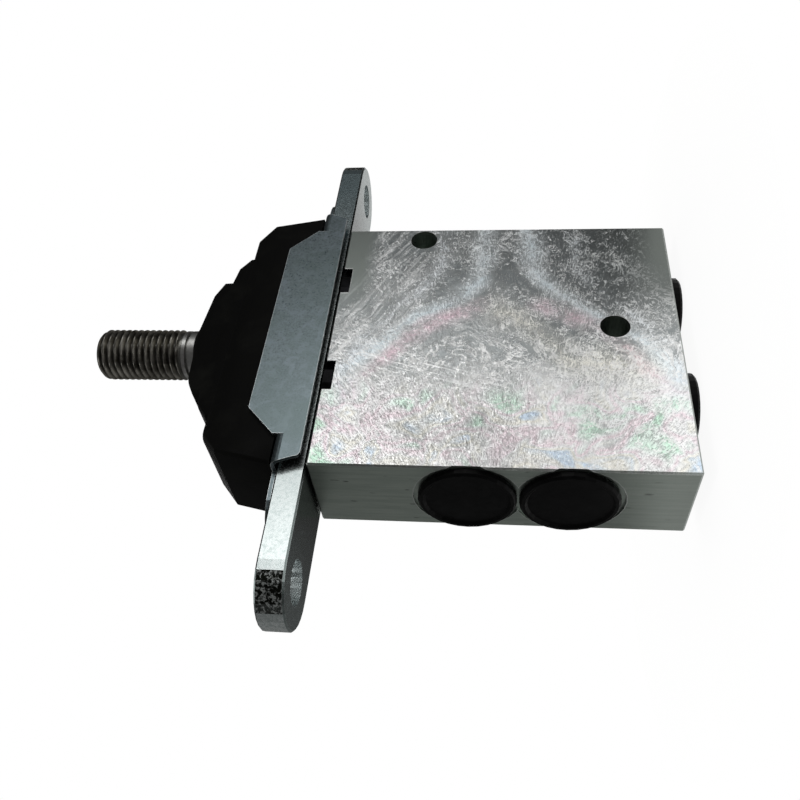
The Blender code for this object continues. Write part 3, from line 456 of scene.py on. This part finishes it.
def frost_hairs(r, density):
    """Short hairs that cross the traces, fanned out from one place."""
    across = r.less(r.axis("X"), HAIR_CENTRE.x)
    along = r.math("DIVIDE", r.less(r.axis("Z"), HAIR_CENTRE.z), HAIR_SQUASH)
    reach = r.length(across, along)
    angle = r.math("ARCTAN2", along, across)
    fanned = r.joined(r.product(reach, 600.0), r.product(angle, 190.0), r.product(r.axis("Y"), 300.0))
    hairs = r.noise(1.0, 2.0, 0.6, 1.3, fanned)
    cut = r.between(density, 0.0, 1.0, 0.67, 0.43)
    return r.between(r.less(hairs, cut), 0.0, 0.06)


def frost_squiggles(r, density):
    """Short bent marks, denser where the frost is thick."""
    ridges = r.ridge(r.noise(620.0, 2.0, 0.5, 2.0), 0.5, 0.050, 0.018)
    cut = r.between(density, 0.0, 1.0, 0.60, 0.38)
    return r.product(ridges, r.between(r.less(r.noise(430.0, 2.0, 0.6, 0.6), cut), 0.0, 0.05))


def frost_flakes(r, traces, density):
    """All the light marks of the frost, from 0 to 1."""
    tangled = r.between(r.noise(95.0, 2.0, 0.5, 0.5), 0.46, 0.54)
    strands = r.product(strand_lines(r, 0.5), tangled, r.between(density, 0.12, 0.3), 0.9)
    flakes = r.most(frost_hairs(r, density), frost_squiggles(r, density), strands,
                    r.product(traces.streaks, 0.6), r.product(traces.lines, 0.9))
    return r.product(flakes, r.less(1.0, traces.smooth))


def face_ground(r, traces, density):
    """The metal under the marks: greyer where the frost is thin, with painted sheen over the lower end and a
    painted highlight at its middle.
    """
    ground = r.mix(r.between(density, 0.15, 0.95), (0.29, 0.315, 0.32), (0.66, 0.67, 0.66))
    cloud = r.between(r.noise(300.0, 3.0, 0.6, 0.5), 0.38, 0.62, 0.0, 0.35)
    ground = r.mix(cloud, ground, (0.22, 0.23, 0.225))
    # Painted sheen: light patches over the lower end
    lower_end_sheen = r.between(r.noise(125.0, 4.0, 0.6, 0.7), 0.42, 0.60, 0.0, 0.75)
    ground = r.mix(r.product(traces.lower_end, lower_end_sheen), ground, (0.88, 0.885, 0.87))
    # Painted highlight across the middle of the lower end
    middle = r.ridge(traces.z, LOWER_HIGHLIGHT_MIDDLE, LOWER_HIGHLIGHT_REACH)
    ground = r.mix(r.product(traces.lower_end, middle), ground, (0.97, 0.975, 0.96))
    ground = r.mix(r.product(traces.inner, 0.4), ground, (0.88, 0.94, 0.97))
    ground = r.mix(r.product(traces.arch, 0.55), ground, (0.97, 0.87, 0.90))
    return r.mix(traces.smooth, ground, (0.30, 0.33, 0.31))


def face_colour(r, traces, density, flakes):
    """The large faces: ground and frost under the film's tint, dark creases, and swirls lower down."""
    tint = film_tint(r, traces)
    face = r.mix(0.7, face_ground(r, traces, density), tint, "MULTIPLY")
    face = r.mix(flakes, face, r.mix(0.9, (0.98, 0.99, 0.985), tint, "MULTIPLY"))
    creased = r.between(r.noise(105.0, 2.0, 0.5, 0.6), 0.42, 0.54, 0.0, 0.55)
    calm = r.less(1.0, r.most(traces.smooth, r.product(traces.lower_end, 0.6)))
    face = r.mix(r.product(strand_lines(r, 0.45), creased, calm), face, (0.33, 0.34, 0.34))
    lower_half = r.between(traces.x, *LOWER_HALF)
    bays = r.between(r.noise(60.0, 4.0, 0.6, 1.2), 0.56, 0.66, 0.0, 0.22)
    face = r.mix(r.product(bays, lower_half), face, (0.36, 0.37, 0.36))
    swirls = r.product(r.ridge(r.noise(80.0, 4.0, 0.65, 2.4), 0.5, 0.035, 0.006), 0.7)
    return r.mix(r.product(swirls, lower_half), face, (1.0, 1.0, 0.985))


def block_material():
    """Milled aluminium: flat grey on its edges, its large faces frosted over cutter traces, with painted
    shade towards the floor end.
    """
    r = Recipe("milled_aluminium")
    traces = FaceTraces(r)
    large = r.between(r.normal("Y"), 0.6, 0.9)
    density = frost_density(r, traces)
    flakes = r.product(frost_flakes(r, traces, density), large)
    scratches = r.noise(1.0, 4.0, 0.65, vector=r.stretched((1500, 1500, 90)))
    edge = r.mix(r.between(scratches, 0.36, 0.64), (0.315, 0.365, 0.325), (0.39, 0.44, 0.395))
    dashes = r.noise(1.0, 2.0, 0.5, vector=r.stretched((1300, 1300, 220)))
    edge = r.mix(r.between(dashes, 0.69, 0.74), edge, (0.12, 0.13, 0.12))
    base = r.mix(large, edge, face_colour(r, traces, density, flakes))
    # Painted shade, darker towards the floor end on the narrow faces and the upper part of the large faces
    upper_part = r.most(r.less(1.0, large), r.between(traces.x, *PAINTED_SHADE_ABOVE))
    painted_floor_end_shade = r.product(r.between(traces.z, *PAINTED_SHADE_END, 0.0, 0.75), upper_part)
    base = r.mix(painted_floor_end_shade, base, (0.10, 0.11, 0.10))
    # Lighter sharp edges: edge wear and a painted highlight
    edge_wear_and_highlight = r.edges(0.4 * MM, 0.86, 0.97)
    base = r.mix(r.product(edge_wear_and_highlight, 0.5), base, (0.9, 0.91, 0.9))
    rough = r.total(r.between(flakes, 0.0, 1.0, 0.28, 0.42), r.between(large, 0.0, 1.0, 0.10, 0.0))
    fine = r.noise(2600.0, 2.0, 0.6)
    height = r.total(flakes, r.product(fine, 0.3), r.product(scratches, 0.3))
    return r.finish(base, rough, 1.0, height, 0.6, 0.05 * MM)


def sheet_material():
    """Zinc-plated sheet: dark, finely mottled, with sheared edges painted light for their wear and a painted
    highlight.
    """
    r = Recipe("zinc_sheet")
    speckle = r.noise(1900.0, 3.0, 0.7)
    mottle = r.noise(420.0, 3.0, 0.6, 0.6)
    cloud = r.noise(70.0, 3.0)
    base = r.mix(r.between(speckle, 0.36, 0.62), (0.125, 0.155, 0.165), (0.19, 0.23, 0.245))
    base = r.mix(r.between(mottle, 0.48, 0.62, 0.0, 0.5), base, (0.235, 0.28, 0.31))
    base = r.mix(r.between(cloud, 0.4, 0.65, 0.0, 0.5), base, (0.13, 0.17, 0.165))
    # Lighter sharp edges: edge wear and a painted highlight
    edge_wear_and_highlight = r.edges(0.22 * MM, 0.84, 0.97)
    base = r.mix(r.product(edge_wear_and_highlight, 0.9), base, (0.86, 0.90, 0.90))
    rough = r.between(speckle, 0.3, 0.7, 0.26, 0.40)
    return r.finish(base, rough, 1.0, speckle, 0.3, 0.04 * MM)


def flange_material():
    """Zinc-plated bar: bright rolled edges, duller flat faces, painted shade towards the block and on the
    upper ear, and crumbly sawn rounds at its ends.
    """
    r = Recipe("zinc_bar")
    speckle = r.noise(1700.0, 3.0, 0.7)
    cloud = r.noise(90.0, 4.0, 0.6, 0.8)
    crumbs = r.noise(1500.0, 3.0, 0.65, 0.5)
    x, y = r.axis("X"), r.axis("Y")
    facing_y, facing_z = r.normal("Y"), r.normal("Z")
    inwards = r.between(r.size(x), *FLANGE_SHADE)
    rolled = r.mix(r.between(speckle, 0.34, 0.60), (0.42, 0.475, 0.465), (0.68, 0.73, 0.72))
    rolled = r.mix(r.between(cloud, 0.45, 0.66, 0.0, 0.25), rolled, (0.50, 0.55, 0.55))
    # Painted shade on the rolled faces: towards the block, and on the upper ear
    rolled = r.mix(r.product(inwards, 0.4), rolled, (0.14, 0.16, 0.158))
    rolled = r.mix(r.between(x, *FLANGE_TOP_SHADE), rolled, (0.30, 0.38, 0.40))
    flat = r.mix(r.between(speckle, 0.34, 0.64), (0.22, 0.265, 0.255), (0.31, 0.36, 0.35))
    flat = r.mix(r.between(cloud, 0.45, 0.66, 0.0, 0.5), flat, (0.22, 0.26, 0.25))
    # Painted shade on the flat faces towards the block
    flat = r.mix(r.product(inwards, 0.9), flat, (0.035, 0.042, 0.038))
    base = r.mix(r.between(facing_z, 0.4, 0.6), rolled, flat)
    past_hole = r.less(r.size(x), EAR_CENTRE)
    from_hole = r.total(r.product(past_hole, past_hole), r.product(y, y))
    outside = r.math("GREATER_THAN", from_hole, (FLANGE_HIGH.y - EAR_RIM) ** 2)
    upright = r.between(facing_z, 0.5, 0.3)
    base = r.mix(r.product(r.less(1.0, outside), upright), base, (0.80, 0.84, 0.84))
    rounded = r.product(r.between(facing_y, 0.985, 0.955), r.between(facing_y, 0.42, 0.55))
    sawn = r.product(rounded, r.between(past_hole, 0.0, SAWN_FADE), outside, upright)
    crumbly = r.mix(r.between(crumbs, 0.50, 0.60), (0.016, 0.018, 0.014), (0.72, 0.76, 0.74))
    base = r.mix(sawn, base, crumbly)
    # Lighter sharp edges: edge wear and a painted highlight
    edge_wear_and_highlight = r.edges(0.35 * MM, 0.84, 0.97)
    base = r.mix(r.product(edge_wear_and_highlight, 0.6), base, (0.86, 0.9, 0.9))
    rough = r.total(r.between(speckle, 0.3, 0.7, 0.20, 0.30), r.product(sawn, 0.15))
    height = r.total(speckle, r.product(crumbs, sawn, 5.0))
    return r.finish(base, rough, 1.0, height, 0.3, 0.05 * MM)


def rubber_material(name):
    """Moulded rubber: near black, a fine matt skin with dusty patches, and edges painted lighter for wear
    and a painted highlight.
    """
    r = Recipe(name)
    skin = r.noise(2200.0, 2.0, 0.6)
    dust = r.noise(110.0, 5.0, 0.65, 0.4)
    dusty = r.between(dust, 0.50, 0.75, 0.0, 0.5)
    base = r.mix(dusty, (0.0025, 0.0025, 0.00225), (0.008, 0.00825, 0.0065))
    # Lighter edges: edge wear and a painted highlight
    edge_wear_and_highlight = r.edges(0.8 * MM, 0.75, 0.98)
    base = r.mix(r.product(edge_wear_and_highlight, 0.35), base, (0.010, 0.010, 0.00875))
    r.shader.inputs["Specular IOR Level"].default_value = 0.05
    return r.finish(base, r.between(dust, 0.3, 0.7, 0.48, 0.66), 0.0, skin, 0.18, 0.05 * MM)


def plastic_material():
    """Moulded black caps: soft gloss, faint flow marks, scuffs."""
    r = Recipe("black_caps")
    flow = r.noise(260.0, 3.0, 0.5, 1.0)
    scuff = r.noise(1.0, 4.0, 0.6, vector=r.stretched((240, 900, 900), (20, 30, 10)))
    base = r.mix(r.between(flow, 0.4, 0.7), (0.0015, 0.0015, 0.0015), (0.003, 0.003, 0.003))
    base = r.mix(r.between(scuff, 0.66, 0.76, 0.0, 0.2), base, (0.02, 0.02, 0.02))
    # Lighter edges: edge wear and a painted highlight
    edge_wear_and_highlight = r.edges(0.4 * MM, 0.75, 0.97)
    base = r.mix(r.product(edge_wear_and_highlight, 0.4), base, (0.012, 0.012, 0.012))
    r.shader.inputs["Specular IOR Level"].default_value = 0.05
    return r.finish(base, r.between(scuff, 0.4, 0.7, 0.34, 0.5), 0.0, flow, 0.12, 0.05 * MM)


def oiled_steel_material():
    """Dark, oiled stud steel with painted shade in the thread's root, and a ground neck that shines."""
    r = Recipe("oiled_steel")
    stain = r.noise(260.0, 4.0, 0.6, 0.6)
    lathe = r.noise(1.0, 2.0, 0.5, vector=r.stretched((30, 30, 6000)))
    base = r.mix(r.between(stain, 0.38, 0.66), (0.17, 0.16, 0.135), (0.50, 0.48, 0.43))
    radius = r.length(r.axis("X"), r.axis("Y"))
    # Painted shade in the thread's root
    root = r.between(radius, STUD_RADIUS - ROOT_SHADE_DEPTH, STUD_RADIUS - THREAD_DEPTH, 0.0, 0.9)
    base = r.mix(root, base, (0.03, 0.028, 0.023))
    neck = r.between(r.axis("Z"), THREAD_BOTTOM, THREAD_BOTTOM - RUNOUT_END)
    bright = r.mix(r.between(stain, 0.42, 0.62, 0.0, 0.7), (0.58, 0.58, 0.56), (0.20, 0.195, 0.18))
    base = r.mix(neck, base, bright)
    # Lighter sharp edges on the crests: edge wear and a painted highlight
    edge_wear_and_highlight = r.edges(0.25 * MM, 0.75, 0.97)
    base = r.mix(r.product(edge_wear_and_highlight, 0.6), base, (0.50, 0.49, 0.46))
    r.shader.inputs["Specular Tint"].default_value = (0.25, 0.25, 0.25, 1.0)
    return r.finish(base, r.between(stain, 0.3, 0.7, 0.26, 0.44), 1.0, lathe, 0.1, 0.03 * MM)


def plain_metal_material(name, dark, light, rough_low, rough_high):
    """Turned or ground metal with a light stain."""
    r = Recipe(name)
    stain = r.noise(220.0, 4.0, 0.6, 0.4)
    grain = r.noise(1800.0, 2.0, 0.6)
    base = r.mix(r.between(stain, 0.38, 0.66), dark, light)
    # Lighter sharp edges: edge wear and a painted highlight
    edge_wear_and_highlight = r.edges(0.3 * MM, 0.80, 0.97)
    base = r.mix(r.product(edge_wear_and_highlight, 0.4), base, tuple(min(1.0, 1.4 * c) for c in light))
    return r.finish(base, r.between(stain, 0.3, 0.7, rough_low, rough_high), 1.0, grain, 0.12, 0.03 * MM)


def paint_nodes():
    """One material for each group of solids: a solid takes the first group whose name is in its own."""
    steel = plain_metal_material("plain_steel", (0.30, 0.30, 0.29), (0.46, 0.45, 0.44), 0.30, 0.45)
    bright = plain_metal_material("ground_steel", (0.55, 0.55, 0.55), (0.72, 0.72, 0.71), 0.16, 0.30)
    black = plain_metal_material("blackened_steel", (0.003, 0.003, 0.003), (0.009, 0.009, 0.010), 0.2, 0.34)
    zinc = plain_metal_material("zinc_screws", (0.42, 0.46, 0.47), (0.60, 0.64, 0.64), 0.30, 0.45)
    caps = plastic_material()
    seals = rubber_material("seal_rubber")
    groups = {
        "valve_body": block_material(),
        "mounting_flange": flange_material(),
        "bellows_retainer": sheet_material(),
        "bellows": rubber_material("bellows_rubber"),
        "lever_stud": oiled_steel_material(),
        "guide_bush": black,
        "port_cap": caps,
        "retainer_screw": zinc,
        "plunger_seal": seals,
        "bush_seal": seals,
        "wiper": seals,
        "pivot_pin": bright,
        "plunger": bright,
        "spring_seat": steel,
        "spring": bright,
    }
    for name, node in NODES.items():
        found = [material for part, material in groups.items() if part in name]
        node.data.materials.clear()
        node.data.materials.append(found[0] if found else steel)
    return groups


def add_object(name, data):
    thing = bpy.data.objects.new(name, data)
    bpy.context.scene.collection.objects.link(thing)
    return thing


def add_mesh(name, verts, faces, material):
    mesh = bpy.data.meshes.new(name)
    mesh.from_pydata(verts, [], faces)
    mesh.shade_smooth()
    mesh.set_sharp_from_angle(angle=MESH_SMOOTH_ANGLE)
    mesh.materials.append(material)
    return add_object(name, mesh)


def round_the_axis(radius, side, z):
    """The point at a radius and a height on one of the stud's sides."""
    angle = 2 * math.pi * side / THREAD_SIDES
    return radius * math.cos(angle), radius * math.sin(angle), z


def thread_radius(side, z):
    """The thread's radius, rising and falling once a pitch, within the chamfer at the stud's top."""
    turn = (z / THREAD_PITCH - side / THREAD_SIDES) % 1.0
    flank = min(1.0, max(0.0, abs(2 * turn - 1) * FLANK_SLOPE - ROOT_SHARE))
    chamfer = max(0.0, z - (STUD_TOP - THREAD_CHAMFER))
    return min(STUD_RADIUS - THREAD_DEPTH * (1 - flank), STUD_RADIUS - chamfer)


def make_threaded_stud(material):
    """The stud with its thread: a grid wound round the axis."""
    seat = STUD_LOW.z + SPIGOT_LENGTH
    neck = [
        (SPIGOT_RADIUS, STUD_LOW.z),
        (SPIGOT_RADIUS, seat),
        (UNDERCUT_RADIUS, seat),
        (UNDERCUT_RADIUS, BLOCK_TOP + BAND_BOTTOM_H),
        (NECK_RADIUS, BLOCK_TOP + BAND_BOTTOM_H + CORNER_STEP),
        (NECK_RADIUS, BLOCK_TOP + BAND_TOP_H - CORNER_STEP),
        (UNDERCUT_RADIUS, BLOCK_TOP + BAND_TOP_H),
        (UNDERCUT_RADIUS, BLOCK_TOP + NECK_BOTTOM_H),
        (NECK_RADIUS, BLOCK_TOP + NECK_BOTTOM_H + CORNER_STEP),
        (NECK_RADIUS, THREAD_BOTTOM - RUNOUT_START),
        (STUD_RADIUS - THREAD_DEPTH, THREAD_BOTTOM - RUNOUT_END),
    ]
    verts = [round_the_axis(radius, side, z) for radius, z in neck for side in range(THREAD_SIDES)]
    rows = round((STUD_TOP - THREAD_BOTTOM) / THREAD_PITCH * THREAD_ROWS_PER_PITCH)
    for row in range(rows + 1):
        z = THREAD_BOTTOM + (STUD_TOP - THREAD_BOTTOM) * row / rows
        verts += [round_the_axis(thread_radius(side, z), side, z) for side in range(THREAD_SIDES)]
    count = len(verts) // THREAD_SIDES
    faces = []
    for row in range(count - 1):
        low, high = row * THREAD_SIDES, (row + 1) * THREAD_SIDES
        for side in range(THREAD_SIDES):
            after = (side + 1) % THREAD_SIDES
            faces.append((low + side, low + after, high + after, high + side))
    faces.append(tuple(range(THREAD_SIDES))[::-1])
    faces.append(tuple((count - 1) * THREAD_SIDES + side for side in range(THREAD_SIDES)))
    stud = add_mesh("threaded_stud", verts, faces, material)
    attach(stud, "lever")
    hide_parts("lever_stud")


def make_soft_bellows(material):
    """The bellows as it is on its solid, with the edges of its tiers rounded."""
    mesh = NODES["bellows"].data.copy()
    bellows = add_object("rubber_bellows", mesh)
    shape = bmesh.new()
    shape.from_mesh(mesh)
    bmesh.ops.remove_doubles(shape, verts=shape.verts, dist=WELD_DISTANCE)
    bmesh.ops.dissolve_limit(shape, angle_limit=FLAT_ANGLE, verts=shape.verts, edges=shape.edges)
    shape.to_mesh(mesh)
    shape.free()
    mesh.materials.clear()
    mesh.materials.append(material)
    bevel = bellows.modifiers.new("rounded_tiers", "BEVEL")
    bevel.width = TIER_ROUNDING
    bevel.segments = 3
    bevel.limit_method = "ANGLE"
    bevel.angle_limit = TIER_EDGE_ANGLE
    bpy.context.view_layer.update()
    made = bpy.data.meshes.new_from_object(bellows.evaluated_get(bpy.context.evaluated_depsgraph_get()))
    bellows.modifiers.clear()
    bellows.data = made
    made.shade_smooth()
    made.set_sharp_from_angle(angle=TIER_SMOOTH_ANGLE)
    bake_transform(bellows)
    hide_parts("bellows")


def make_working_spring(name, side, material):
    """A spring as it is on its solid, copied with the given material."""
    solid = f"{name}_{side}"
    source = NODES[solid]
    spring = add_object(f"working_{solid}", source.data.copy())
    spring.matrix_world = source.matrix_world
    spring.data.materials.clear()
    spring.data.materials.append(material)
    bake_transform(spring)
    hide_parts(solid)


def make_springs(material):
    for side in ("left", "right"):
        make_working_spring("return_spring", side, material)
        make_working_spring("metering_spring", side, material)


def make_floor():
    """A plain floor that shows as white and keeps a soft shadow."""
    r = Recipe("pale_floor")
    verts = []
    for step in range(FLOOR_SIDES):
        angle = 2 * math.pi * step / FLOOR_SIDES
        verts.append((FLOOR_REACH * math.cos(angle), FLOOR_REACH * math.sin(angle), 0))
    emission = r.add("ShaderNodeEmission")
    r.feed(emission, "Strength", FLOOR_WHITE)
    diffuse = r.add("ShaderNodeBsdfDiffuse")
    r.feed(diffuse, "Color", (*FLOOR_GREY, 1.0))
    rays = r.add("ShaderNodeLightPath").outputs
    direct = r.most(rays["Is Camera Ray"], rays["Is Glossy Ray"], rays["Is Transmission Ray"])
    share = r.product(direct, FLOOR_WHITE_SHARE)
    output = r.tree.nodes["Material Output"]
    r.feed(output, "Surface", r.mixed_shader(share, diffuse.outputs[0], emission.outputs[0]))
    floor = add_mesh("floor", verts, [tuple(range(FLOOR_SIDES))], r.material)
    floor.location = (0, FLOOR_BACK, cad_bounds[0][2] - FLOOR_DROP)


def make_world():
    """White to the camera; metal shows the white wall behind the object and a dim room around it."""
    world = bpy.data.worlds.new("studio")
    bpy.context.scene.world = world
    world.use_nodes = True
    w = Nodes(world.node_tree)
    w.tree.nodes.clear()
    around = w.add("ShaderNodeTexCoord").outputs["Generated"]
    rays = w.add("ShaderNodeLightPath").outputs

    def background(strength):
        node = w.add("ShaderNodeBackground")
        w.feed(node, "Color", (*WHITE, 1.0))
        w.feed(node, "Strength", strength)
        return node.outputs[0]

    def glow(direction, low, high, level):
        """A level that rises from 0 as a ray turns towards a direction."""
        towards = w.dot(around, direction.normalized())
        return w.between(towards, low, high, 0.0, level, "SMOOTHSTEP")

    room = w.total(glow(*WALL_GLOW), ROOM_LEVEL, glow(*KEY_GLOW), glow(*SIDE_GLOW))
    shiny = w.most(rays["Is Glossy Ray"], rays["Is Transmission Ray"])
    lit = w.mixed_shader(shiny, background(SOFT_LEVEL), background(room))
    seen = w.mixed_shader(rays["Is Camera Ray"], lit, background(1.0))
    w.feed(w.add("ShaderNodeOutputWorld"), "Surface", seen)


def make_lamp(name, direction, distance, size, power):
    data = bpy.data.lights.new(name, "AREA")
    data.shape = "DISK"
    data.size = size
    data.energy = power
    lamp = add_object(name, data)
    middle = (Vector(cad_bounds[0]) + Vector(cad_bounds[1])) / 2
    way = direction.normalized()
    turn = way.to_track_quat("Z", "Y").to_matrix().to_4x4()
    lamp.matrix_world = Matrix.Translation(middle + way * distance) @ turn


def make_camera():
    data = bpy.data.cameras.new("camera")
    data.lens = CAMERA_LENS
    data.sensor_width = CAMERA_SENSOR
    data.clip_start = CAMERA_NEAR
    camera = add_object("camera", data)
    right = CAMERA_RIGHT.normalized()
    up = (CAMERA_UP - right * CAMERA_UP.dot(right)).normalized()
    turn = Matrix((right, up, right.cross(up))).transposed()
    camera.matrix_world = Matrix.Translation(CAMERA_PLACE) @ turn.to_4x4()
    bpy.context.scene.camera = camera


bpy.context.scene.view_settings.view_transform = "Standard"
make_camera()
materials = paint_nodes()
make_threaded_stud(materials["lever_stud"])
make_soft_bellows(materials["bellows"])
make_springs(materials["spring"])
make_floor()
make_world()
for lamp_settings in LAMPS:
    make_lamp(*lamp_settings)
